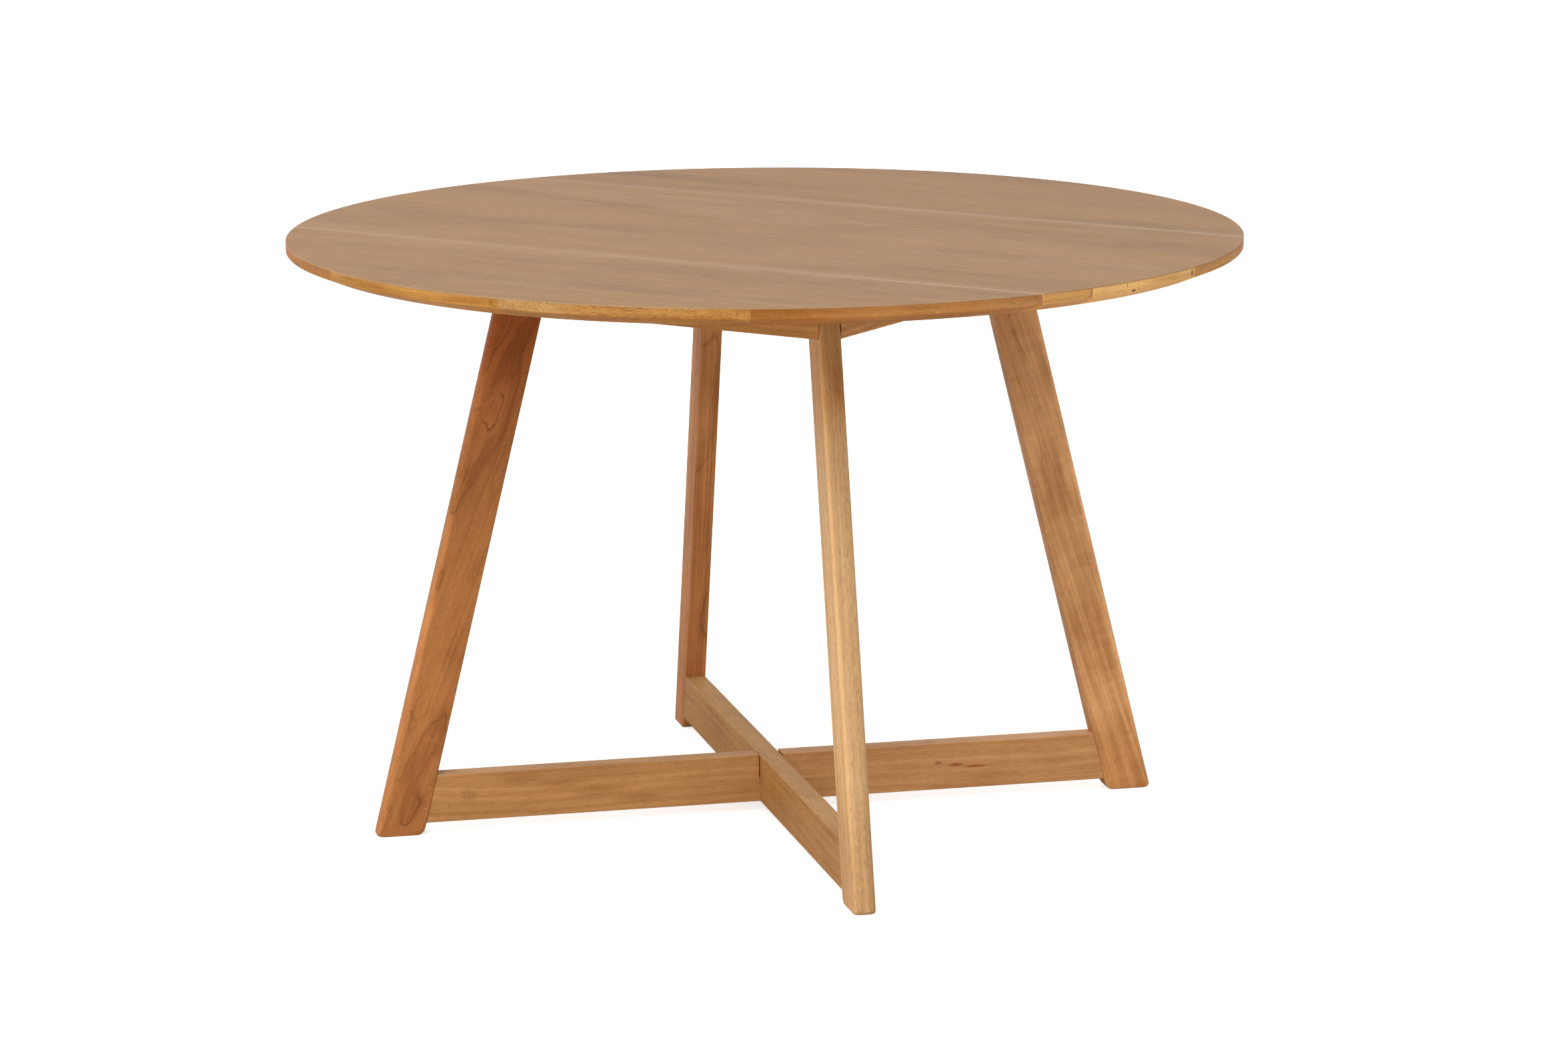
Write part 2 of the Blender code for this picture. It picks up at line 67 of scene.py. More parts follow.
STRETCHER_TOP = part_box("stretcher_upper")[1].z
STRETCHER_MIDDLE = (STRETCHER_BOTTOM + STRETCHER_TOP) / 2
LEG_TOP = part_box("leg_front_right")[1].z

# Sizes that it doesn't give directly
BOARD = 0.028
LEG_WIDTH = 0.0586
LEG_SLOPE = 0.2455
FOOT_RADIUS = 0.5105
GAP = 0.0003              # between pieces that touch
SEEN_GAP = 0.00006        # what shows of it at a glued joint
VENEER = 0.0008
LIPPING_WIDTH = 0.045
EDGE_BAND = 0.0128        # height of the top's face, above the bevel
UNDER_BEVEL = 0.028       # how far the bevel runs in under the top
NOTCH_PLAY_LEFT = 0.0010
NOTCH_PLAY_RIGHT = 0.0024
PLATE = 0.0016            # a hinge wing's thickness
BRACKET_PLATE = 0.002

LEAN = math.atan(LEG_SLOPE)
LEG_RUN = LEG_WIDTH / math.cos(LEAN)
CORNERS = {"rear_right": 45, "rear_left": 135, "front_left": 225, "front_right": 315}
SIDES = {"front": -1, "rear": 1}
HANDS = ("left", "right")
BODIES = {"centre": "frame", "front": "front_leaf", "rear": "rear_leaf"}
PANELS = {"centre": "centre_panel", "front": "front_leaf_panel", "rear": "rear_leaf_panel"}


# -------------------- shader nodes

class Shader:
    """A material and short calls for the nodes used here."""

    def __init__(self, name):
        self.material = bpy.data.materials.new(name)
        self.material.use_nodes = True
        self.tree = self.material.node_tree
        self.surface = self.tree.nodes["Principled BSDF"]
        self.where = self.node("ShaderNodeTexCoord").outputs["Object"]

    def node(self, kind, **settings):
        made = self.tree.nodes.new(kind)
        for key, value in settings.items():
            setattr(made, key, value)
        return made

    def plug(self, socket, value):
        """Links a socket to another one, or sets it where value is a plain number or tuple."""
        if isinstance(value, bpy.types.NodeSocket):
            self.tree.links.new(value, socket)
        else:
            socket.default_value = value

    def math(self, operation, *values):
        made = self.node("ShaderNodeMath", operation=operation)
        for socket, value in zip(made.inputs, values):
            self.plug(socket, value)
        return made.outputs[0]

    def vector(self, operation, *values):
        made = self.node("ShaderNodeVectorMath", operation=operation)
        for socket, value in zip(made.inputs, values):
            self.plug(socket, value)
        return made.outputs["Value" if operation == "LENGTH" else "Vector"]

    def mapped(self, vector, scale=(1, 1, 1), location=(0, 0, 0), rotation=(0, 0, 0)):
        """The vector scaled, then turned, then moved."""
        made = self.node("ShaderNodeMapping")
        self.plug(made.inputs["Vector"], vector)
        made.inputs["Scale"].default_value = scale
        made.inputs["Location"].default_value = location
        made.inputs["Rotation"].default_value = rotation
        return made.outputs[0]

    def noise(self, vector, detail=2.0, roughness=0.5, output="Fac"):
        made = self.node("ShaderNodeTexNoise")
        self.plug(made.inputs["Vector"], vector)
        made.inputs["Scale"].default_value = 1.0
        made.inputs["Detail"].default_value = detail
        made.inputs["Roughness"].default_value = roughness
        return made.outputs[output]

    def line_noise(self, value, detail=2.0, roughness=0.5):
        made = self.node("ShaderNodeTexNoise", noise_dimensions="1D")
        self.plug(made.inputs["W"], value)
        made.inputs["Scale"].default_value = 1.0
        made.inputs["Detail"].default_value = detail
        made.inputs["Roughness"].default_value = roughness
        return made.outputs["Fac"]

    def spread(self, value, low, high, to_low=0.0, to_high=1.0):
        """A smooth step from to_low at low to to_high at high."""
        made = self.node("ShaderNodeMapRange", interpolation_type="SMOOTHSTEP")
        for socket, number in zip(made.inputs, (value, low, high, to_low, to_high)):
            self.plug(socket, number)
        return made.outputs[0]

    def mix(self, factor, first, second, mode="MIX"):
        made = self.node("ShaderNodeMix", data_type="RGBA", blend_type=mode)
        self.plug(made.inputs[0], factor)
        for socket, value in zip(made.inputs[6:8], (first, second)):
            self.plug(socket, value if isinstance(value, bpy.types.NodeSocket) else (*value, 1.0))
        return made.outputs[2]

    def ramp(self, value, *stops):
        """Colours at places from 0 to 1."""
        made = self.node("ShaderNodeValToRGB")
        self.plug(made.inputs[0], value)
        elements = made.color_ramp.elements
        while len(elements) < len(stops):
            elements.new(0.5)
        for element, (place, color) in zip(elements, stops):
            element.position = place
            element.color = (*color, 1.0)
        return made.outputs[0]

    def grey(self, value):
        """A number as a colour."""
        made = self.node("ShaderNodeCombineColor")
        for socket in made.inputs[:3]:
            self.plug(socket, value)
        return made.outputs[0]

    def spot(self, centre, size, soft=0.5):
        """1 at a point on the piece, falling to 0 at an ellipsoid of these half sizes."""
        return self.spread(self.reach(centre, size), soft, 1.0, 1.0, 0.0)

    def reach(self, centre, size):
        """Distance from a point on the piece, 1 at an ellipsoid of these half sizes."""
        scale = [1 / length for length in size]
        location = [-place * step for place, step in zip(centre, scale)]
        return self.vector("LENGTH", self.mapped(self.where, scale, location))

    def bump(self, height, strength, distance):
        made = self.node("ShaderNodeBump")
        made.inputs["Strength"].default_value = strength
        made.inputs["Distance"].default_value = distance
        self.plug(made.inputs["Height"], height)
        self.plug(self.surface.inputs["Normal"], made.outputs[0])


# -------------------- wood

@dataclass
class Look:
    """How one board's wood shows. The weights say how far each pattern moves the tone."""

    base: tuple
    contrast: float = 0.30        # from the base colour to the darkest and the lightest
    pore: tuple = (0.13, 0.040, 0.010)
    bands: float = 0.5            # growth rings, soft
    band_rate: float = 110.0      # rings' noise per metre of distance from the pith
    lines: float = 0.30           # thin dark ring lines
    line_rate: float = 130.0
    streaks: float = 0.50         # along the grain, some millimetres wide
    fine: float = 0.30            # along the grain, about a millimetre wide
    blotch: float = 0.6           # large patches
    curl: float = 0.1             # ripples across the grain
    fibre: float = 0.09
    pores: float = 0.20
    pore_size: float = 0.42       # across, in millimetres
    length: float = 6.0           # of the streaks along the grain
    pith: tuple = (0.0, -0.07)    # from the piece's axis, across the grain
    drift: float = 0.035          # how far the rings wander
    swirl: tuple = (3.5, 11.0)    # how often they do, per metre along and across the grain
    slant: float = 0.0            # of the grain to the board's axis, in degrees
    taper: float = 0.010          # rings' drift per metre of length
    sheen: float = 0.10
    roughness: float = 0.42
    relief: float = 0.20

    def tones(self):
        """The darkest colour, which is redder than the base, and the lightest, which is paler."""
        dark = [1 - self.contrast * share for share in (1.0, 1.25, 1.5)]
        light = [1 + self.contrast * share for share in (0.7, 0.9, 1.1)]
        return (tuple(a * b for a, b in zip(self.base, dark)),
                tuple(a * b for a, b in zip(self.base, light)))


def shifted(seed):
    """Places in the noise, a new one at each call, the same ones for the same seed."""
    dice = random.Random(seed)
    while True:
        yield tuple(dice.uniform(-40, 40) for _ in range(3))


@dataclass
class Wood:
    """What a wood shader has made so far, for a piece's own marks to build on."""

    shader: Shader
    color: object
    height: object
    gloss: object


def ring_distance(s, grain, look, place):
    """Distance from the board's pith, which wanders and drifts, for the growth rings."""
    swirl = (look.swirl[0], look.swirl[1], look.swirl[1])
    drift = s.noise(s.mapped(grain, swirl, place), 1.5, output="Color")
    centred = s.mapped(grain, (0, 1, 1), (0, -look.pith[0], -look.pith[1]))
    wandering = s.vector("MULTIPLY_ADD", drift, (0, look.drift, look.drift), centred)
    parts = s.node("ShaderNodeSeparateXYZ")
    s.plug(parts.inputs[0], grain)
    return s.math("MULTIPLY_ADD", parts.outputs[0], look.taper, s.vector("LENGTH", wandering))


def wood(name, look, seed, local=Matrix()):
    """Wood whose grain runs along X of the frame that local describes."""
    s = Shader(name)
    place = shifted(seed)
    back = local.inverted()
    grain = s.mapped(s.where, location=back.translation, rotation=back.to_euler())

    def pattern(along, across, detail, roughness=0.55):
        scale = (along / look.length, across, across)
        return s.noise(s.mapped(grain, scale, next(place)), detail, roughness)

    ring = ring_distance(s, grain, look, next(place))
    band = s.line_noise(s.math("MULTIPLY_ADD", ring, look.band_rate, float(seed)), 2.0, 0.6)
    weights = ((band, look.bands),
               (pattern(14, 240, 3.0), look.streaks),
               (pattern(60, 1200, 2.0), look.fine),
               (pattern(8 * look.length, 24, 2.0), look.blotch),
               (pattern(90 * look.length, 28, 1.0), look.curl))
    tone = 0.5 - sum(weight for _, weight in weights) / 2
    for value, weight in weights:
        tone = s.math("MULTIPLY_ADD", value, weight, tone)
    dark, light = look.tones()
    color = s.ramp(tone, (0.28, dark), (0.72, light))

    if look.lines:
        wave = s.math("SINE", s.math("MULTIPLY", ring, look.line_rate * 2 * math.pi))
        line = s.math("MULTIPLY", s.spread(wave, 0.975, 1.0),
                      s.spread(pattern(9 * look.length, 22, 1.0), 0.38, 0.58))
        color = s.mix(s.math("MULTIPLY", line, look.lines), color, look.pore)

    fibre = pattern(110, 2200, 1.0, 0.6)
    across = 800.0 / look.pore_size
    dash = pattern(across / 18 * look.length, across, 0.0)
    rows = pattern(6, 180, 1.0)
    pores = s.spread(s.math("MULTIPLY_ADD", rows, 0.35, dash), 0.72, 0.86)
    lift = s.math("MULTIPLY_ADD", fibre, 2 * look.fibre, 1 - look.fibre)
    color = s.mix(1.0, color, s.grey(lift), "MULTIPLY")
    color = s.mix(s.math("MULTIPLY", pores, look.pores), color, look.pore)

    height = s.math("MULTIPLY_ADD", pores, -1.0, s.math("MULTIPLY", fibre, 0.6))
    gloss = s.math("MULTIPLY_ADD", fibre, 0.16, look.roughness - 0.08)
    gloss = s.math("MULTIPLY_ADD", pores, 0.2, gloss)
    return Wood(s, color, height, gloss)


GRAIN_DEPTH = 0.0003


def finish_wood(made, look):
    """Joins what has been made to a satin lacquer and returns the material."""
    s = made.shader
    s.surface.inputs["Specular IOR Level"].default_value = look.sheen
    s.plug(s.surface.inputs["Base Color"], made.color)
    s.plug(s.surface.inputs["Roughness"], made.gloss)
    s.bump(made.height, look.relief, GRAIN_DEPTH)
    return s.material


def tint(made, mask, color):
    """Mixes in a colour where the mask is 1."""
    made.color = made.shader.mix(mask, made.color, color)


def shade(made, mask, factor):
    """Multiplies the colour by a factor where the mask is 1."""
    made.color = made.shader.mix(mask, made.color, factor, "MULTIPLY")


def split(made, vector):
    """X, Y and Z of a vector."""
    parts = made.shader.node("ShaderNodeSeparateXYZ")
    made.shader.plug(parts.inputs[0], vector)
    return parts.outputs[:3]


KNOT_COLOR = (0.17, 0.055, 0.016)


def knot(made, centre, size, strength=0.5):
    """A small knot: a dark core in rings that fade outward."""
    s = made.shader
    reach = s.reach(centre, size)
    rings = s.math("MULTIPLY_ADD", s.math("SINE", s.math("MULTIPLY", reach, 17.0)), 0.35, 0.45)
    mask = s.math("MULTIPLY", rings, s.spread(reach, 0.45, 1.0, 1.0, 0.0))
    mask = s.math("MAXIMUM", mask, s.spread(reach, 0.08, 0.2, 1.0, 0.0))
    tint(made, s.math("MULTIPLY", mask, strength), KNOT_COLOR)


def facing_up(made):
    """How far the surface faces up: 1 where it is level, -1 on an underside."""
    return split(made, made.shader.node("ShaderNodeNewGeometry").outputs["Normal"])[2]


def facing_towards(made, direction):
    """How far the surface faces a level direction, from -1 to 1."""
    s = made.shader
    normal = s.node("ShaderNodeNewGeometry").outputs["Normal"]
    x, y, _ = split(made, s.vector("MULTIPLY", normal, direction))
    return s.math("ADD", x, y)


VENEER_LOOK = Look(base=(0.350, 0.179, 0.066), contrast=0.24, pore=(0.20, 0.09, 0.035),
                   bands=0.4, band_rate=60, lines=0.0, streaks=0.65, fine=0.8, blotch=0.35,
                   curl=0.05, length=1.2, fibre=0.24, pores=0.22, pore_size=0.5,
                   pith=(0.0, -0.5), drift=0.03, taper=0.02, sheen=0.45, relief=0.10)
LIPPING_LOOK = Look(base=(0.48, 0.210, 0.042), contrast=0.24, pore=(0.24, 0.085, 0.016),
                    length=2.0, fibre=0.15, pores=0.40, lines=0.0, sheen=0.08)
LEG_LOOK = Look(base=(0.40, 0.155, 0.036))
STRETCHER_LOOK = Look(base=(0.510, 0.246, 0.086), blotch=0.5, streaks=0.28, contrast=0.22,
                      pith=(0.02, -0.04))
RAIL_LOOK = Look(base=(0.68, 0.300, 0.084))
BLOCK_LOOK = Look(base=(0.46, 0.29, 0.15), roughness=0.6)


# -------------------- meshes

SHARP_FROM = math.radians(35)


def finished_mesh(bm, name):
    bmesh.ops.recalc_face_normals(bm, faces=bm.faces)
    mesh = bpy.data.meshes.new(name)
    bm.to_mesh(mesh)
    bm.free()
    mesh.shade_smooth()
    mesh.set_sharp_from_angle(angle=SHARP_FROM)
    return mesh


def lofted(name, rings):
    """A closed mesh through rings of points, all of one length, with flat ends."""
    bm = bmesh.new()
    rows = [[bm.verts.new(point) for point in ring] for ring in rings]
    count = len(rows[0])
    for first, second in zip(rows, rows[1:]):
        for index in range(count):
            after = (index + 1) % count
            bm.faces.new((first[index], first[after], second[after], second[index]))
    bm.faces.new(list(reversed(rows[0])))
    bm.faces.new(rows[-1])
    return finished_mesh(bm, name)


def coat(mesh, material):
    """Gives a mesh one material in place of those it had."""
    mesh.materials.clear()
    mesh.materials.append(material)


def add_piece(name, mesh, material, body, nodes):
    """A visible piece that stands for some CAD nodes and rides on their body."""
    coat(mesh, material)
    piece = bpy.data.objects.new(name, mesh)
    bpy.context.scene.collection.objects.link(piece)
    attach(piece, body)
    if nodes:
        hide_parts(*nodes)
    return piece


def moved(mesh, matrix):
    mesh.transform(matrix)
    return mesh


# A board's outline is a list of (point, ease): a corner, and how far the arrises of the side
# that starts there are rounded over.

def rounded(corners, steps=6):
    """Turns (x, z, corner radius, ease of the side after it) into an outline."""
    outline = []
    count = len(corners)
    for index, (x, z, radius, ease) in enumerate(corners):
        corner = Vector((x, z))
        ease_before = corners[index - 1][3]
        if radius == 0:
            outline.append((corner, ease))
            continue
        back = (Vector(corners[index - 1][:2]) - corner).normalized()
        ahead = (Vector(corners[(index + 1) % count][:2]) - corner).normalized()
        half = back.angle(ahead) / 2
        centre = corner + (back + ahead).normalized() * (radius / math.sin(half))
        first = corner + back * (radius / math.tan(half)) - centre
        last = corner + ahead * (radius / math.tan(half)) - centre
        sweep = first.angle(last)
        for step in range(steps + 1):
            share = step / steps
            spoke = (first * math.sin((1 - share) * sweep) + last * math.sin(share * sweep))
            eased = ease
            if step < steps:
                eased = ease_before + (ease - ease_before) * (share + 0.5 / steps)
            outline.append((centre + spoke / math.sin(sweep), eased))
    return outline


SHARP_TURN = 0.4          # sine of the turn above which two sides meet in a corner


def inset(outline, share, extra=0.0):
    """(point, ease there) with each side moved in by share of its ease, plus extra."""
    inner = []
    count = len(outline)
    for index, (point, ease) in enumerate(outline):
        before, ease_before = outline[index - 1]
        after = outline[(index + 1) % count][0]
        run_in = (point - before).normalized()
        run_out = (after - point).normalized()
        left_in = Vector((-run_in.y, run_in.x))
        left_out = Vector((-run_out.y, run_out.x))
        step_in = ease_before * share + extra
        step_out = ease * share + extra
        turn = run_in.x * run_out.y - run_in.y * run_out.x
        if abs(turn) < SHARP_TURN:
            normal = (left_in + left_out).normalized()
            spot = point + normal * ((step_in + step_out) / 2 / normal.dot(left_in))
            inner.append((spot, (ease_before + ease) / 2))
        else:
            start = point + left_in * step_in
            gap = point + left_out * step_out - start
            travel = (gap.x * run_out.y - gap.y * run_out.x) / turn
            inner.append((start + run_in * travel, max(ease_before, ease)))
    return inner


def board(name, outline, half, steps=7):
    """A board: its outline in x and z, and its thickness along Y, with every arris eased."""
    flat = 0.0006
    levels = [(1.0, 0.0, flat)]
    for step in range(steps + 1):
        angle = math.pi / 2 * step / steps
        levels.append((1 - math.sin(angle), 1 - math.cos(angle), 0.0))
    rings = []
    for side, order in ((-1, levels), (1, reversed(levels))):
        for share, depth, extra in order:
            ring = inset(outline, share, extra)
            rings.append([Vector((spot.x, side * (half - ease * depth), spot.y))
                          for spot, ease in ring])
    return lofted(name, rings)


# -------------------- the top

ARC_STEP = math.radians(0.75)
SEAM_EASE = 0.0009
RIM_EASE = 0.0004


def arc_points(radius, start, end, height, count):
    points = []
    for index in range(count + 1):
        angle = start + (end - start) * index / count
        points.append(Vector((radius * math.cos(angle), radius * math.sin(angle), height)))
    return points


def section_ring(section, radius, pull, height):
    """The outline of a section of the top, its seam edges pulled back by pull."""
    if section == "centre":
        edge = CENTRE_EDGE - pull
        swing = math.asin(edge / radius)
        count = int(2 * math.asin(CENTRE_EDGE / RADIUS) / ARC_STEP)
        return (arc_points(radius, -swing, swing, height, count)
                + arc_points(radius, math.pi - swing, math.pi + swing, height, count))
    side = SIDES[section]
    swing = math.asin((LEAF_EDGE + pull) / radius)
    count = int((math.pi - 2 * math.asin(LEAF_EDGE / RADIUS)) / ARC_STEP)
    if side > 0:
        return arc_points(radius, swing, math.pi - swing, height, count)
    return arc_points(radius, math.pi + swing, 2 * math.pi - swing, height, count)


def panel_mesh(section):
    """Board and veneer. The veneer runs out over the lipping, and its arrises are eased."""
    core = RADIUS - LIPPING_WIDTH
    skin = TOP - VENEER
    low_ease, flat, steps = 0.0006, 0.0015, 5
    rings = [section_ring(section, core - 2 * low_ease, 2 * low_ease, UNDERSIDE),
             section_ring(section, core, low_ease, UNDERSIDE),
             section_ring(section, core, 0, UNDERSIDE + low_ease),
             section_ring(section, core, 0, skin),
             section_ring(section, RADIUS, 0, skin)]
    for step in range(steps + 1):
        angle = math.pi / 2 * step / steps
        rings.append(section_ring(section, RADIUS - RIM_EASE * (1 - math.cos(angle)),
                                  SEAM_EASE * (1 - math.cos(angle)),
                                  TOP - SEAM_EASE * (1 - math.sin(angle))))
    rings.append(section_ring(section, RADIUS - RIM_EASE - flat, SEAM_EASE + flat, TOP))
    return lofted(section + "_panel", rings)


def lipping_profile(pull):
    """Radius and height round the lipping, each face pulled in by pull. Arrises are eased."""
    under_veneer, under_rim = 0.0001, 0.00015
    bevel_end_round, arris_round, top_round = 0.002, 0.0016, 0.0002
    high = TOP - VENEER - under_veneer - pull
    inner = RADIUS - LIPPING_WIDTH + GAP + pull
    outer = RADIUS - under_rim - pull
    low = UNDERSIDE + pull
    corners = [(inner, low, 0, 0), (RADIUS - UNDER_BEVEL - pull, low, bevel_end_round, 0),
               (outer, TOP - EDGE_BAND + pull / 2, arris_round, 0), (outer, high, top_round, 0),
               (inner, high, 0, 0)]
    return [point for point, _ in rounded(corners, 4)]


def seam_angle(section, degrees, radius, back):
    """Where a circle meets the seam near these degrees, a section's edge drawn back by back."""
    edge = (CENTRE_EDGE - back) if section == "centre" else (LEAF_EDGE + back)
    lean = math.asin(edge / radius)
    towards = math.radians(degrees)
    turned = lean if math.cos(towards) > 0 else math.pi - lean
    turned *= SIDES.get(section, 1 if math.sin(towards) > 0 else -1)
    full = 2 * math.pi
    return turned + full * round((towards - turned) / full)


def lipping_end(section, end, back, pull, way):
    """(radius, height, angle) round one end. way is 1 at the start of a run and -1 at its end."""
    kind, degrees = end
    ring = []
    for radius, height in lipping_profile(pull):
        if kind == "joint":
            angle = math.radians(degrees) + way * math.asin((SEEN_GAP / 2 + back) / radius)
        else:
            angle = seam_angle(section, degrees, radius, back)
        ring.append((radius, height, angle))
    return ring


def lipping_mesh(name, section, start, end):
    """A length of lipping between two ends, each ('joint', degrees) or ('seam', degrees)."""
    pulls = ((0.0, 0.0002), (0.00006, 0.00006), (0.0002, 0.0))
    rings = [lipping_end(section, start, back, pull, 1) for back, pull in pulls]
    closing = [lipping_end(section, end, back, pull, -1) for back, pull in reversed(pulls)]
    first, last = rings[-1], closing[0]
    count = max(6, int(abs(end[1] - start[1]) / math.degrees(ARC_STEP)))
    for index in range(1, count):
        share = index / count
        rings.append([(radius, height, angle + (other[2] - angle) * share)
                      for (radius, height, angle), other in zip(first, last)])
    rings += closing
    solid = [[Vector((radius * math.cos(angle), radius * math.sin(angle), height))
              for radius, height, angle in ring] for ring in rings]
    return lofted(name, solid)


DEPTHS = {"front": 1.0, "centre": 0.95, "rear": 0.82}     # of the veneer's colour


def build_panels():
    for seed, (section, depth) in enumerate(DEPTHS.items(), start=3):
        look = replace(VENEER_LOOK, base=tuple(depth * part for part in VENEER_LOOK.base))
        made = wood("top_veneer_" + section, look, seed)
        mark_panel(made)
        add_piece(PANELS[section] + "_fine", panel_mesh(section), finish_wood(made, look),
                  BODIES[section], [PANELS[section]])


GOLDEN = (0.375, 0.184, 0.058)
# Painted highlight: the seams' eased arrises catching the light, shown as a pale line.
SEAM_GLINT = (0.70, 0.52, 0.34)
# Painted sheen: a soft pale band on the top beside each seam.
SEAM_SHEEN = (0.50, 0.36, 0.25)
# The rim's arris: a faintly paler veneer edge all round, with a painted highlight on the left.
RIM_EDGE_AND_HIGHLIGHT = (0.62, 0.42, 0.22)
CHIP_COLOR = (0.12, 0.045, 0.016)
# Chips at the front seam: place along it, how far in front of its middle, half length.
CHIPS = ((0.405, 0.0018, 0.0050), (0.432, 0.0022, 0.0016))


def mark_panel(made):
    """Golden streaks and chips, a painted glint and painted sheen along the seams, and a pale rim
    edge with a painted highlight on its left.
    """
    s = made.shader
    x, y, _ = split(made, s.where)
    golden = s.noise(s.mapped(s.where, (1.1, 9, 9), (3.7, 0.4, 2.0)), 2.0, 0.5)
    tint(made, s.spread(golden, 0.38, 0.62, 0.0, 0.6), GOLDEN)
    from_seam = s.math("ABSOLUTE", s.math("SUBTRACT", s.math("ABSOLUTE", y), SEAM))
    line = s.spread(from_seam, 0.0006, 0.0013, 1.0, 0.0)
    # A pale line along each seam is a painted highlight, patchy along its length.
    tint(made, s.math("MULTIPLY", line, seam_glint_strength(s, x, y)), SEAM_GLINT)
    for along, ahead, length in CHIPS:
        chip = s.spot((along, -SEAM + ahead, TOP), (length, 0.0009, 0.002))
        tint(made, chip, CHIP_COLOR)
    # A soft pale band beside each seam is painted sheen.
    tint(made, s.spread(from_seam, 0.002, 0.030, 0.16, 0.0), SEAM_SHEEN)
    # The rim's arris: faintly paler all round, and a painted highlight towards the left.
    reach = s.vector("LENGTH", s.mapped(s.where, (1, 1, 0)))
    rim = s.spread(reach, RADIUS - 0.0009, RADIUS - 0.0002)
    tint(made, s.math("MULTIPLY", rim, s.spread(x, 0.18, 0.34, 0.35, 0.05)), RIM_EDGE_AND_HIGHLIGHT)


def seam_glint_strength(s, x, y):
    """How strong the painted glint is along the seams: most at the front one's ends and the rear's
    right.
    """
    glint_patches = s.noise(s.mapped(s.where, (4.5, 0.7, 0), (7.3, 0, 0)), 3.0, 0.6)
    rear_right = s.math("MULTIPLY", s.spread(y, -0.1, 0.1), s.spread(x, -0.25, 0.1))
    ends = s.math("MAXIMUM", s.spread(x, 0.10, 0.30), s.spread(x, -0.20, -0.34, 0.0, 0.7))
    front = s.math("MULTIPLY", s.spread(y, 0.1, -0.1), ends)
    most = s.math("MULTIPLY", s.math("MAXIMUM", rear_right, front), 0.8)
    return s.math("MAXIMUM", s.spread(glint_patches, 0.40, 0.55, 0.10, 0.55), most)


SEAM_AT = 25.7            # degrees round the rim from +X to where a seam meets it
# Runs of lipping: section, name, and in degrees the start, the joints between and the end.
LIPPING_RUNS = (
    ("front", "front_lipping", SEAM_AT - 180, (-118.8, -89.4, -59.7), -SEAM_AT),
    ("rear", "rear_lipping", SEAM_AT, (58.0, 90.0, 121.0), 180 - SEAM_AT),
    ("centre", "right_lipping", -SEAM_AT, (-18.4, 1.0), SEAM_AT),
    ("centre", "left_lipping", 180 - SEAM_AT, (178.0,), 180 + SEAM_AT),
)

LIPPING_TONES = {
    "front_lipping_1": (0.46, 0.190, 0.050),
    "front_lipping_2": (0.56, 0.262, 0.062),
    "front_lipping_3": (0.52, 0.250, 0.068),
    "front_lipping_4": (0.46, 0.200, 0.056),
    "right_lipping_1": (0.64, 0.330, 0.105),
    "right_lipping_2": (0.80, 0.455, 0.160),
    "right_lipping_3": (0.59, 0.280, 0.082),
}


# Marks on the lipping's face: degrees round the rim, depth below the top, half width, half
# height, strength.
LIPPING_MARKS = {
    "front_lipping_2": ((-90.2, 0.0065, 0.0035, 0.0045, 0.35),
                        (-89.7, 0.0100, 0.0012, 0.0018, 0.6)),
    "front_lipping_4": ((-26.6, 0.0040, 0.0012, 0.0020, 0.5),
                        (-29.5, 0.0075, 0.0045, 0.0009, 0.4)),
    "right_lipping_1": ((-18.6, 0.0060, 0.0006, 0.0065, 0.7),
                        (-18.9, 0.0100, 0.0012, 0.0020, 0.5)),
    "right_lipping_2": ((-12.8, 0.0035, 0.0006, 0.0040, 1.0),
                        (-11.7, 0.0115, 0.0045, 0.0014, 1.0),
                        (-10.9, 0.0100, 0.0010, 0.0010, 0.9),
                        (0.4, 0.0060, 0.0026, 0.0046, 0.9)),
    "right_lipping_3": ((3.4, 0.0020, 0.0010, 0.0010, 0.7),
                        (5.6, 0.0022, 0.0014, 0.0010, 0.7)),
}
# Changes of tone along the lipping: from one place round the rim to another, times a factor.
LIPPING_SHADES = {
    "front_lipping_2": ((-112.0, -117.0, (1.10, 1.20, 1.50)),
                        (-100.0, -108.0, (0.92, 0.90, 0.82))),
    "front_lipping_3": ((-78.0, -84.0, (0.98, 1.10, 1.35)),
                        (-72.0, -62.0, (0.93, 0.90, 0.80))),
    "front_lipping_4": ((-46.0, -57.0, (0.90, 0.80, 0.62)),
                        (-36.0, -30.0, (1.04, 1.10, 1.35))),
}
LIPPING_PORES = {"front_lipping_3": 0.7, "right_lipping_1": 0.2, "right_lipping_2": 0.2}
MARK_COLOR = (0.085, 0.026, 0.008)
# A pale line along the lipping's lower arris, between its face and the bevel.
PALE_ARRIS_LINE = (0.78, 0.58, 0.38)
# Painted light: faces that look down are made warmer and less grey, to offset the floor's
# reflection on them.
BEVEL_PAINTED_LIGHT_TONE = (1.22, 1.06, 0.80)


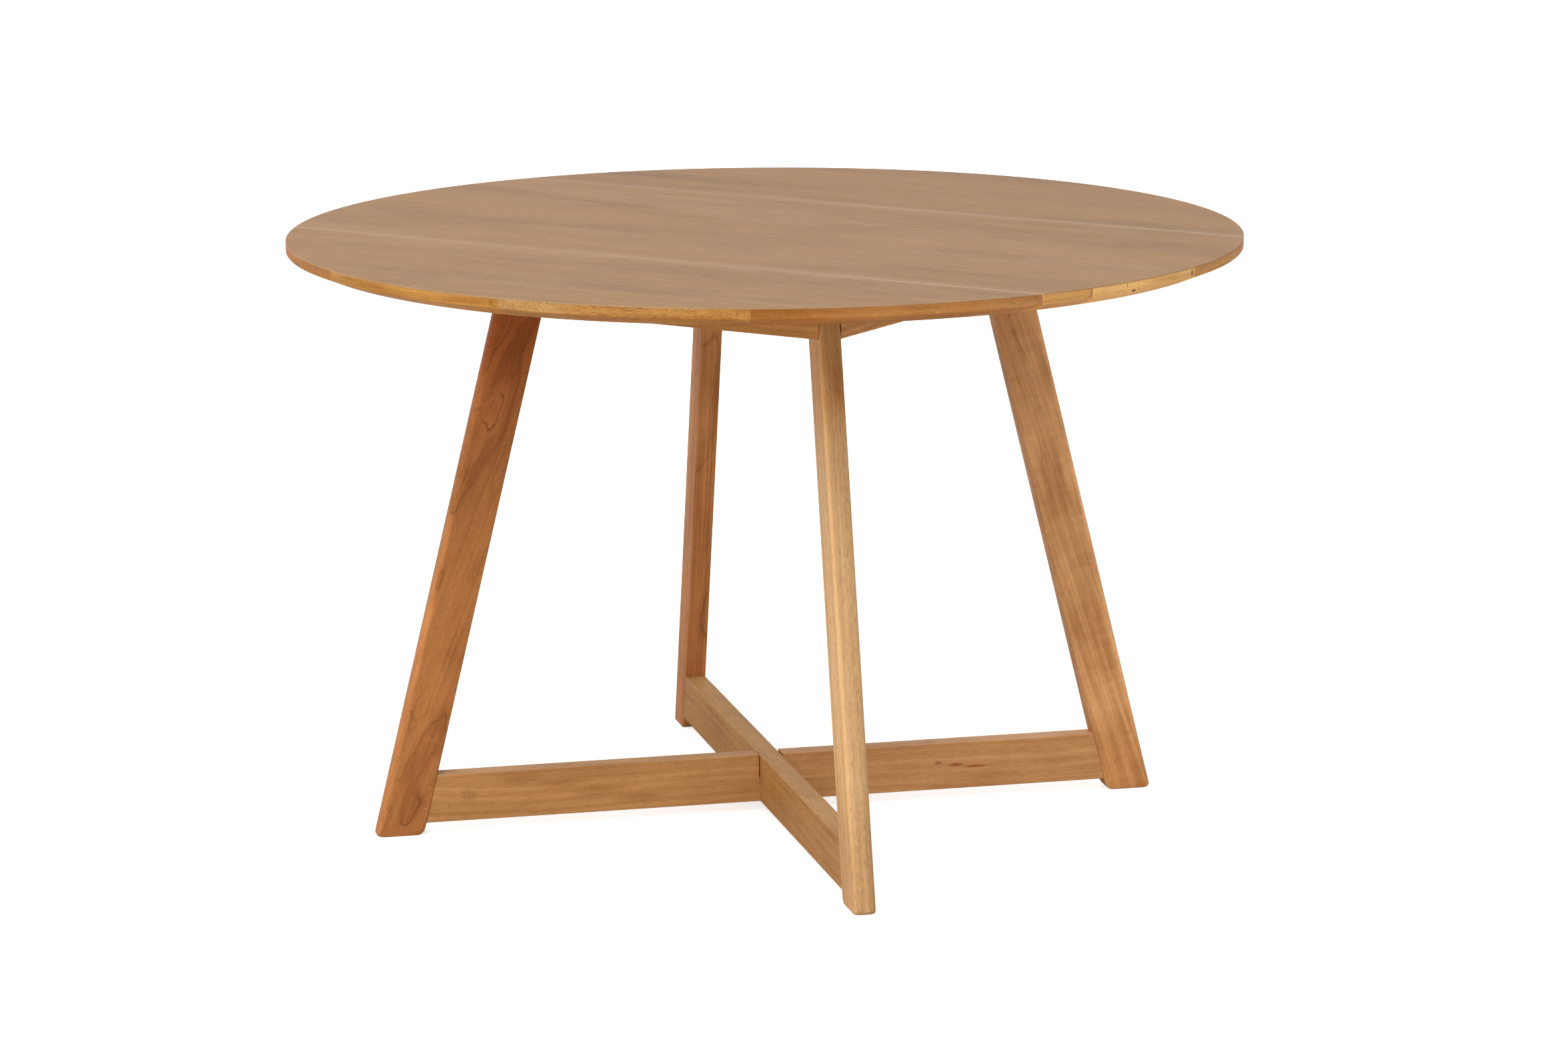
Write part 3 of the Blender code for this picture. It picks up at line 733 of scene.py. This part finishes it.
def mark_lipping(made, node):
    """Cracks, chips and knots, changes of tone, a pale lower arris on the right, and a warmer tone
    painted on the downward bevel to offset the floor's reflection.
    """
    s = made.shader
    x, y, z = split(made, s.where)
    round_rim = s.math("MULTIPLY", s.math("ARCTAN2", y, x), RADIUS)
    depth = s.math("SUBTRACT", TOP, z)
    for degrees, below, half_width, half_height, strength in LIPPING_MARKS.get(node, ()):
        place = s.node("ShaderNodeCombineXYZ")
        s.plug(place.inputs[0], round_rim)
        s.plug(place.inputs[1], depth)
        scale = (1 / half_width, 1 / half_height, 0)
        centre = (-math.radians(degrees) * RADIUS * scale[0], -below * scale[1], 0)
        reach = s.vector("LENGTH", s.mapped(place.outputs[0], scale, centre))
        tint(made, s.spread(reach, 0.5, 1.1, strength, 0.0), MARK_COLOR)
    for start, end, factor in LIPPING_SHADES.get(node, ()):
        run = s.spread(round_rim, math.radians(start) * RADIUS, math.radians(end) * RADIUS)
        shade(made, run, factor)
    if node.startswith("right"):
        # A pale line along the lower arris of the right lipping.
        arris = s.math("ABSOLUTE", s.math("SUBTRACT", depth, EDGE_BAND))
        tint(made, s.spread(arris, 0.0003, 0.0010, 0.35, 0.0), PALE_ARRIS_LINE)
    # A warmer tone painted on faces that look down, offsetting the floor's reflection there.
    shade(made, s.spread(facing_up(made), -0.3, -0.1, 1.0, 0.0), BEVEL_PAINTED_LIGHT_TONE)


def lipping_frame(degrees):
    """A length of lipping's own frame: X along the chord, Y inward, Z up."""
    turn = math.radians(degrees)
    outward = Vector((math.cos(turn), math.sin(turn), 0))
    local = Matrix((Vector((-outward.y, outward.x, 0)), -outward, Vector((0, 0, 1))))
    local = local.transposed().to_4x4()
    local.translation = outward * (RADIUS - LIPPING_WIDTH / 2) + Vector((0, 0, UNDERSIDE))
    return local


def build_lipping():
    seed = 20
    for section, name, start, joints, end in LIPPING_RUNS:
        stops = [("seam", start), *(("joint", angle) for angle in joints), ("seam", end)]
        for number, (first, second) in enumerate(zip(stops, stops[1:]), start=1):
            node = f"{name}_{number}"
            seed += 1
            look = replace(LIPPING_LOOK, base=LIPPING_TONES.get(node, LIPPING_LOOK.base),
                           pores=LIPPING_PORES.get(node, LIPPING_LOOK.pores))
            made = wood(node + "_wood", look, seed, lipping_frame((first[1] + second[1]) / 2))
            mark_lipping(made, node)
            add_piece(node + "_fine", lipping_mesh(node, section, first, second),
                      finish_wood(made, look), BODIES[section], [node])


# -------------------- the base

def turned_to(corner):
    return Matrix.Rotation(math.radians(CORNERS[corner]), 4, "Z")


def leg_outer(height):
    return FOOT_RADIUS - LEG_SLOPE * height


def leg_frame():
    """A leg's own frame in its plane: X up along the board, Y outward, Z across it."""
    up = Vector((-math.sin(LEAN), 0, math.cos(LEAN)))
    out = Vector((math.cos(LEAN), 0, math.sin(LEAN)))
    local = Matrix((up, out, up.cross(out))).transposed().to_4x4()
    local.translation = Vector((leg_outer(TOP / 2) - LEG_RUN / 2, 0, TOP / 2))
    return local


LEG_OUTER_EASE = 0.0085
LEG_INNER_EASE = 0.0018
FOOT_OUTER_ROUND = 0.0055
FOOT_INNER_ROUND = 0.009
FOOT_SIDE_ROUND = 0.0020


def recess(height, radius):
    """How far a rounded edge above the floor stands back at a height."""
    if height >= radius:
        return 0.0
    return radius - math.sqrt(radius ** 2 - (radius - height) ** 2)


def leg_mesh(name):
    """A leg in level sections from the foot up, towards +X, its foot rounded all round."""
    heights = {LEG_TOP}
    steps = 6
    for radius in (FOOT_OUTER_ROUND, FOOT_INNER_ROUND, FOOT_SIDE_ROUND):
        heights.update(radius * (1 - math.cos(math.radians(90 * step / steps)))
                       for step in range(steps + 1))
    rings = []
    for height in sorted(heights):
        outer = leg_outer(height) - recess(height, FOOT_OUTER_ROUND)
        inner = leg_outer(height) - LEG_RUN + recess(height, FOOT_INNER_ROUND)
        side = BOARD / 2 - recess(height, FOOT_SIDE_ROUND)
        section = rounded([(outer, -side, LEG_OUTER_EASE, 0), (outer, side, LEG_OUTER_EASE, 0),
                           (inner, side, LEG_INNER_EASE, 0), (inner, -side, LEG_INNER_EASE, 0)], 8)
        rings.append([Vector((*point, height)) for point, _ in section])
    return lofted(name, rings)


LEG_LOOKS = {
    "front_left": replace(LEG_LOOK, base=(0.44, 0.170, 0.050), contrast=0.24, lines=0.6,
                          line_rate=75, bands=1.0, band_rate=75, pores=0.3, pith=(0.004, -0.05),
                          swirl=(9.0, 26.0), drift=0.05, slant=-8),
    "front_right": replace(LEG_LOOK, base=(0.62, 0.372, 0.172), contrast=0.20, lines=0.0,
                           pith=(-0.06, 0.0), blotch=0.2, curl=0.1, streaks=0.8, pores=0.3),
    "rear_right": replace(LEG_LOOK, base=(0.76, 0.368, 0.150), curl=0.2, blotch=0.8,
                          pith=(0.05, -0.05), slant=-5),
    "rear_left": replace(LEG_LOOK, base=(0.66, 0.275, 0.092), pith=(0.05, 0.03),
                         streaks=0.9, lines=0.3),
}

# Where a leg's tone changes: from one height to another, times a factor.
# The darker, redder tone near the front legs' tops is painted shade under the table top; the other
# entries darken a leg towards its foot.
LEG_TONES_AND_PAINTED_SHADE = {
    "front_left": ((0.42, 0.68, (0.98, 0.70, 0.54)),),
    "front_right": ((0.50, 0.62, (1.00, 0.84, 0.66)), (0.18, 0.06, (0.84, 0.79, 0.74))),
    "rear_right": ((0.14, 0.03, (0.84, 0.76, 0.66)), (0.62, 0.20, (0.94, 0.96, 0.94))),
    "rear_left": ((0.50, 0.05, (0.86, 0.80, 0.76)),),
}

# Filled nail holes beside a stretcher: height, and how far in from the joint.
NAIL_PLACES = ((0.034, 0.006), (0.047, 0.0075), (0.061, 0.006))
NAIL_RADIUS = 0.0009
NAIL_COLOR = (0.60, 0.38, 0.20)
NAILED = ("front_left", "rear_right")
# Painted highlight on the outer, rounded arrises of two legs.
OUTER_ARRIS_HIGHLIGHT = (1.20, 1.22, 1.30)
# Painted light: the near leg's left side made brighter, as if lit from the left.
LIT_SIDE_PAINTED = (1.36, 1.36, 1.34)          # the near leg's left side
DARK_FIGURE = (0.80, 0.71, 0.62)        # on the near leg's outer face
FIGURE_HEIGHT = 0.62


def mark_leg(made, corner, turn):
    """The near leg's painted lit side and dark figure. Two legs' nail holes and painted highlights
    on their outer arrises.
    """
    s = made.shader
    axes = turn.to_3x3()
    if corner == "front_right":
        # Painted light on the side that faces left.
        sideways = facing_towards(made, axes @ Vector((0, -1, 0)))
        shade(made, s.spread(sideways, 0.3, 0.9), LIT_SIDE_PAINTED)
        figure = turn @ Vector((leg_outer(FIGURE_HEIGHT), 0.008, FIGURE_HEIGHT))
        shade(made, s.spot(figure, (0.016, 0.016, 0.10), 0.2), DARK_FIGURE)
    if corner not in NAILED:
        return
    # Painted highlight where the leg faces outward, on its rounded arris.
    outward = facing_towards(made, axes @ Vector((1, 0, 0)))
    shade(made, s.spread(outward, 0.05, 0.55), OUTER_ARRIS_HIGHLIGHT)
    for height, depth in NAIL_PLACES:
        for side in (-1, 1):
            place = Vector((leg_outer(height) - LEG_RUN + depth, side * BOARD / 2, height))
            tint(made, s.spot(turn @ place, (NAIL_RADIUS,) * 3, 0.7), NAIL_COLOR)


def build_legs():
    for seed, (corner, look) in enumerate(LEG_LOOKS.items(), start=41):
        node = "leg_" + corner
        turn = turned_to(corner)
        slant = Matrix.Rotation(math.radians(look.slant), 4, "Z")
        made = wood(node + "_wood", look, seed, turn @ leg_frame() @ slant)
        # Tone by height: painted shade under the top on the front legs, darker towards the feet.
        for start, end, factor in LEG_TONES_AND_PAINTED_SHADE[corner]:
            height = split(made, made.shader.where)[2]
            shade(made, made.shader.spread(height, start, end), factor)
        mark_leg(made, corner, turn)
        add_piece(node + "_fine", moved(leg_mesh(node), turn), finish_wood(made, look), "frame",
                  [node])


def stretcher_outline(notch_low, notch_high, notch_side):
    """Side outline of a stretcher, its ends cut to the legs, with a notch at top or bottom."""
    ease, cut = 0.0016, 0.0003

    def end(height):
        return leg_outer(height) - LEG_RUN - SEEN_GAP

    low, high = STRETCHER_BOTTOM, STRETCHER_TOP
    if notch_side > 0:
        floor = STRETCHER_MIDDLE - GAP / 2
        return rounded([(-end(low), low, 0, ease), (end(low), low, 0, cut),
                        (end(high), high, 0, ease), (notch_high, high, 0, cut),
                        (notch_high, floor, 0, cut), (notch_low, floor, 0, cut),
                        (notch_low, high, 0, ease), (-end(high), high, 0, cut)])
    roof = STRETCHER_MIDDLE + GAP / 2
    return rounded([(-end(low), low, 0, ease), (notch_low, low, 0, cut),
                    (notch_low, roof, 0, cut), (notch_high, roof, 0, cut),
                    (notch_high, low, 0, ease), (end(low), low, 0, cut),
                    (end(high), high, 0, ease), (-end(high), high, 0, cut)])


# Marks on the lower stretcher's front face: place along it, height above its middle, size.
KNOTS = ((-0.392, 0.002, (0.017, 0.012, 0.011), 0.40),
         (-0.417, -0.010, (0.0022, 0.004, 0.0022), 0.8))
CLOUDS = ((-0.325, 0.019, 0.045, 0.009), (-0.275, 0.010, 0.048, 0.011),
          (-0.222, -0.001, 0.048, 0.012), (-0.170, -0.014, 0.045, 0.010))
DASHES = ((0.222, 0.005, 0.008, 0.0022), (0.246, 0.001, 0.013, 0.0034),
          (0.272, -0.002, 0.022, 0.0028))
CLOUD_FACTOR = (0.84, 0.78, 0.70)
DASH_FACTOR = (0.62, 0.40, 0.34)
# Painted highlight and sheen on the stretchers' upward faces.
STRETCHER_TOP_PAINTED_LIGHT = (1.23, 1.46, 1.95)
RIGHT_HALF_FACTOR = (1.17, 1.19, 1.30)


def mark_stretcher(made, node, turn):
    """A painted highlight on the top. On the lower stretcher knots, a dark cloud, red dashes, a
    paler right half.
    """
    s = made.shader
    # Painted highlight on faces that look up.
    shade(made, s.spread(facing_up(made), 0.6, 0.9), STRETCHER_TOP_PAINTED_LIGHT)
    if node != "stretcher_lower":
        return

    def on_face(along, up):
        return turn @ Vector((along, -BOARD / 2, STRETCHER_MIDDLE + up))

    for along, up, size, strength in KNOTS:
        knot(made, on_face(along, up), size, strength)
    for along, up, width, height in CLOUDS:
        shade(made, s.spot(on_face(along, up), (width, width, height), 0.0), CLOUD_FACTOR)
    for along, up, width, height in DASHES:
        shade(made, s.spot(on_face(along, up), (width, width, height), 0.2), DASH_FACTOR)
    right_half = s.spread(s.math("ADD", *split(made, s.where)[:2]), 0.0, 0.02)
    shade(made, right_half, RIGHT_HALF_FACTOR)


def build_stretchers():
    half = BOARD / 2
    upper = stretcher_outline(-half - GAP, half + GAP, -1)
    lower = stretcher_outline(-half - NOTCH_PLAY_LEFT, half + NOTCH_PLAY_RIGHT, 1)
    upper_look = replace(STRETCHER_LOOK, base=(0.48, 0.228, 0.068))
    pieces = (("stretcher_upper", upper, -45, upper_look),
              ("stretcher_lower", lower, 45, STRETCHER_LOOK))
    for seed, (node, outline, degrees, look) in enumerate(pieces, start=61):
        turn = Matrix.Rotation(math.radians(degrees), 4, "Z")
        local = turn @ Matrix.Translation((0, 0, STRETCHER_MIDDLE))
        made = wood(node + "_wood", look, seed, local)
        mark_stretcher(made, node, turn)
        add_piece(node + "_fine", moved(board(node, outline, half), turn),
                  finish_wood(made, look), "frame", [node])


def rail_mesh(name):
    """A rail along X with its outer face towards -Y, mitred to the legs' sides."""
    ease = 0.0012
    section = rounded([(-RAIL_OUTER, RAIL_BOTTOM, ease, 0), (-RAIL_INNER, RAIL_BOTTOM, ease, 0),
                       (-RAIL_INNER, RAIL_TOP, ease / 2, 0),
                       (-RAIL_OUTER, RAIL_TOP, ease / 2, 0)], 3)
    back = (BOARD / 2 + SEEN_GAP) * math.sqrt(2)
    rings = []
    for side in (-1, 1):
        rings.append([Vector((side * (-spot.x - back), spot.x, spot.y)) for spot, _ in section])
    return lofted(name, rings)


def build_rails():
    local = Matrix.Translation((0, -(RAIL_OUTER + RAIL_INNER) / 2, (RAIL_BOTTOM + RAIL_TOP) / 2))
    turns = (("front", 0), ("right", 90), ("rear", 180), ("left", 270))
    for seed, (side, degrees) in enumerate(turns, start=71):
        node = "apron_" + side
        turn = Matrix.Rotation(math.radians(degrees), 4, "Z")
        made = wood(node + "_wood", RAIL_LOOK, seed, turn @ local)
        add_piece(node + "_fine", moved(rail_mesh(node), turn), finish_wood(made, RAIL_LOOK),
                  "frame", [node])


def dress_blocks():
    """Bare wood on the corner blocks, each with a grain of its own."""
    for seed, (corner, degrees) in enumerate(CORNERS.items(), start=81):
        across = Matrix.Rotation(math.radians(degrees + 90), 4, "Z")
        made = wood("block_wood_" + corner, BLOCK_LOOK, seed, across)
        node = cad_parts["corner_block_" + corner]
        node.data = node.data.copy()
        coat(node.data, finish_wood(made, BLOCK_LOOK))


# -------------------- fittings

def metal(name, color, roughness):
    """Plated or plain steel: cloudy tone, fine scratches and a little dirt."""
    s = Shader(name)
    cloud = s.noise(s.mapped(s.where, (160, 160, 160)), 3.0, 0.6)
    scratch = s.noise(s.mapped(s.where, (900, 60, 900), (3, 5, 7)), 2.0, 0.6)
    tone = s.math("MULTIPLY_ADD", cloud, 0.35, 0.80)
    base = s.mix(1.0, color, s.grey(tone), "MULTIPLY")
    s.plug(s.surface.inputs["Base Color"], base)
    s.surface.inputs["Metallic"].default_value = 1.0
    rough = s.math("MULTIPLY_ADD", cloud, 0.22, roughness - 0.11)
    s.plug(s.surface.inputs["Roughness"], s.math("MULTIPLY_ADD", scratch, 0.12, rough))
    s.bump(scratch, 0.15, 0.0001)
    return s.material


SCREW_RADIUS = 0.0028
SCREW_HEAD = 0.0006
SCREW_SIDES = 32
# The head from its rim inwards: radius as a share of the whole, height as a share of the head's.
SCREW_PROFILE = ((0.9, -0.5), (1.0, 0.0), (0.93, 0.55), (0.72, 1.0))
RECESS_DEPTH = 0.9


def screw_mesh(name):
    """A countersunk head that points down -Z from the plate's face, with a cross recess."""
    turns = [2 * math.pi * index / SCREW_SIDES for index in range(SCREW_SIDES)]
    cross = [SCREW_RADIUS * (0.16 + 0.38 * abs(math.cos(2 * turn)) ** 4) for turn in turns]

    def ring(radii, height):
        return [Vector((radius * math.cos(turn), -radius * math.sin(turn), height))
                for turn, radius in zip(turns, radii)]

    rings = [ring([SCREW_RADIUS * share] * SCREW_SIDES, -SCREW_HEAD * down)
             for share, down in SCREW_PROFILE]
    rings += [ring(cross, -SCREW_HEAD), ring(cross, -SCREW_HEAD * (1 - RECESS_DEPTH))]
    return lofted(name, rings)


def add_screw(name, place, turn, body, material):
    """turn takes the head's direction, -Z, to the way the plate faces."""
    spin = Matrix.Rotation(math.radians(17 * (sum(map(ord, name)) % 5)), 4, "Z")
    mesh = moved(screw_mesh(name), Matrix.Translation(place) @ turn.to_4x4() @ spin)
    add_piece(name, mesh, material, body, [])


def middle(node):
    low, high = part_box(node)
    return (low + high) / 2


DOWN = Matrix.Identity(3)
WING_SCREWS = (-0.017, 0.0, 0.017)          # along a hinge wing
WING_SCREW_BACK = 0.019                     # from the pin
WING_SCREW_STAGGER = 0.004                  # the middle one nearer to the pin
FOUR = ((-1, -1), (1, -1), (-1, 1), (1, 1))
WEAR_PLATE_SCREWS = (0.0075, 0.025)         # from a plate's middle, across and along
BRACKET_SCREWS = (0.011, 0.0075)            # from a bracket's middle, across and up


def add_hinge_screws(hinge, outward, leaf, material):
    pin_y = middle(hinge + "_pin").y
    for wing, body, way in (("frame_wing", "frame", -outward), ("leaf_wing", leaf, outward)):
        node = f"{hinge}_{wing}"
        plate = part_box(node)[1].z - PLATE
        for number, along in enumerate(WING_SCREWS):
            back = WING_SCREW_BACK - WING_SCREW_STAGGER * (number % 2)
            place = Vector((middle(node).x + along, pin_y + way * back, plate))
            add_screw(f"{node}_screw_{number}", place, DOWN, body, material)


def add_stay_screws(stay, outward, leaf, material):
    centre = middle(stay + "_wear_plate")
    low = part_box(stay + "_wear_plate")[0].z
    for number, (across, along) in enumerate(FOUR):
        place = Vector((centre.x + across * WEAR_PLATE_SCREWS[0],
                        centre.y + along * WEAR_PLATE_SCREWS[1], low))
        add_screw(f"{stay}_wear_plate_screw_{number}", place, DOWN, leaf, material)
    centre = middle(stay + "_bracket")
    face = outward * (RAIL_OUTER + GAP + BRACKET_PLATE)
    out = Vector((0, outward, 0)).rotation_difference(Vector((0, 0, -1))).inverted().to_matrix()
    for number, (across, up) in enumerate(FOUR):
        place = Vector((centre.x + across * BRACKET_SCREWS[0], face,
                        centre.z + up * BRACKET_SCREWS[1]))
        add_screw(f"{stay}_bracket_screw_{number}", place, out, "frame", material)


def add_screws(material):
    """Screws in the hinge wings, the wear plates and the stay brackets."""
    for side, outward in SIDES.items():
        for hand in HANDS:
            add_hinge_screws(f"hinge_{side}_{hand}", outward, side + "_leaf", material)
            add_stay_screws(f"stay_{side}_{hand}", outward, side + "_leaf", material)


def dress_fittings():
    zinc = metal("zinc_plate_worn", (0.62, 0.61, 0.58), 0.40)
    steel = metal("steel_worn", (0.50, 0.50, 0.51), 0.33)
    add_screws(steel)
    for name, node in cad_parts.items():
        if name.startswith(("hinge_", "stay_")):
            coat(node.data, steel if name.endswith("_pin") else zinc)
        elif name.startswith("leg_bolt"):
            coat(node.data, steel)


# -------------------- studio

CAMERA_PLACE = Vector((3.387, -5.446, 1.699))
CAMERA_YAW = math.radians(-31.680)      # from +Y, towards +X
CAMERA_PITCH = math.radians(11.656)     # downward
CAMERA_ROLL = math.radians(-0.303)
CAMERA_LENS = 118.25
CAMERA_SENSOR = 36.0


def add_camera():
    data = bpy.data.cameras.new("camera")
    data.sensor_width = CAMERA_SENSOR
    data.lens = CAMERA_LENS
    data.clip_end = 200
    level = math.cos(CAMERA_PITCH)
    ahead = Vector((math.sin(CAMERA_YAW) * level, math.cos(CAMERA_YAW) * level,
                    -math.sin(CAMERA_PITCH)))
    right = Vector((math.cos(CAMERA_YAW), -math.sin(CAMERA_YAW), 0))
    up = right.cross(ahead)
    across = right * math.cos(CAMERA_ROLL) + up * math.sin(CAMERA_ROLL)
    above = up * math.cos(CAMERA_ROLL) - right * math.sin(CAMERA_ROLL)
    camera = bpy.data.objects.new("camera", data)
    camera.matrix_world = Matrix((across, above, -ahead)).transposed().to_4x4()
    camera.location = CAMERA_PLACE
    bpy.context.scene.collection.objects.link(camera)
    bpy.context.scene.camera = camera


def add_sun(name, towards, strength, spread):
    """Parallel light from a wide disc, spread degrees across, that lies towards a direction."""
    light = bpy.data.lights.new(name, "SUN")
    light.energy = strength
    light.angle = math.radians(spread)
    lamp = bpy.data.objects.new(name, light)
    lamp.rotation_euler = Vector(towards).to_track_quat("Z", "Y").to_euler()
    bpy.context.scene.collection.objects.link(lamp)


# The floor looks white, but returns less light than that to the table above it.
FLOOR_SEEN = (0.95, 0.95, 0.95)
FLOOR_BOUNCE = (0.60, 0.60, 0.60)
FLOOR_GLOW = 0.60
FLOOR_RADIUS = 60.0
WORLD_LIGHT = 0.62
WORLD_SEEN = 1.0
# Suns: name, where the light comes from, strength, width in degrees.
SUNS = (("key", (0.21, -0.74, 0.64), 1.8, 45),
        ("top", (-0.1, 0.1, 1.0), 0.4, 90),
        ("fill", (-0.82, -0.42, 0.38), 0.42, 60))


def add_floor():
    """A plain pale floor, out past everything that a view can show."""
    bm = bmesh.new()
    bmesh.ops.create_circle(bm, cap_ends=True, segments=64, radius=FLOOR_RADIUS)
    s = Shader("pale_floor")
    seen = s.node("ShaderNodeLightPath").outputs["Is Camera Ray"]
    s.plug(s.surface.inputs["Base Color"], s.mix(seen, FLOOR_BOUNCE, FLOOR_SEEN))
    s.plug(s.surface.inputs["Emission Strength"], s.math("MULTIPLY", seen, FLOOR_GLOW))
    s.surface.inputs["Emission Color"].default_value = (1.0, 1.0, 1.0, 1.0)
    s.surface.inputs["Roughness"].default_value = 0.9
    s.surface.inputs["Specular IOR Level"].default_value = 0.1
    mesh = finished_mesh(bm, "floor")
    mesh.materials.append(s.material)
    floor = bpy.data.objects.new("floor", mesh)
    bpy.context.scene.collection.objects.link(floor)


def light_studio():
    """Even white light all round, with a soft key from the camera's side and above."""
    world = bpy.data.worlds.new("studio")
    world.use_nodes = True
    background = world.node_tree.nodes["Background"]
    background.inputs["Color"].default_value = (1.0, 1.0, 1.0, 1.0)
    paths = world.node_tree.nodes.new("ShaderNodeLightPath")
    strength = world.node_tree.nodes.new("ShaderNodeMapRange")
    strength.inputs["To Min"].default_value = WORLD_LIGHT
    strength.inputs["To Max"].default_value = WORLD_SEEN
    world.node_tree.links.new(paths.outputs["Is Camera Ray"], strength.inputs["Value"])
    world.node_tree.links.new(strength.outputs[0], background.inputs["Strength"])
    bpy.context.scene.world = world
    for sun in SUNS:
        add_sun(*sun)
    view = bpy.context.scene.view_settings
    view.view_transform = "Standard"
    view.look = "None"


# -------------------- the scene

add_camera()
add_floor()
light_studio()
build_panels()
build_lipping()
build_legs()
build_stretchers()
build_rails()
dress_blocks()
dress_fittings()
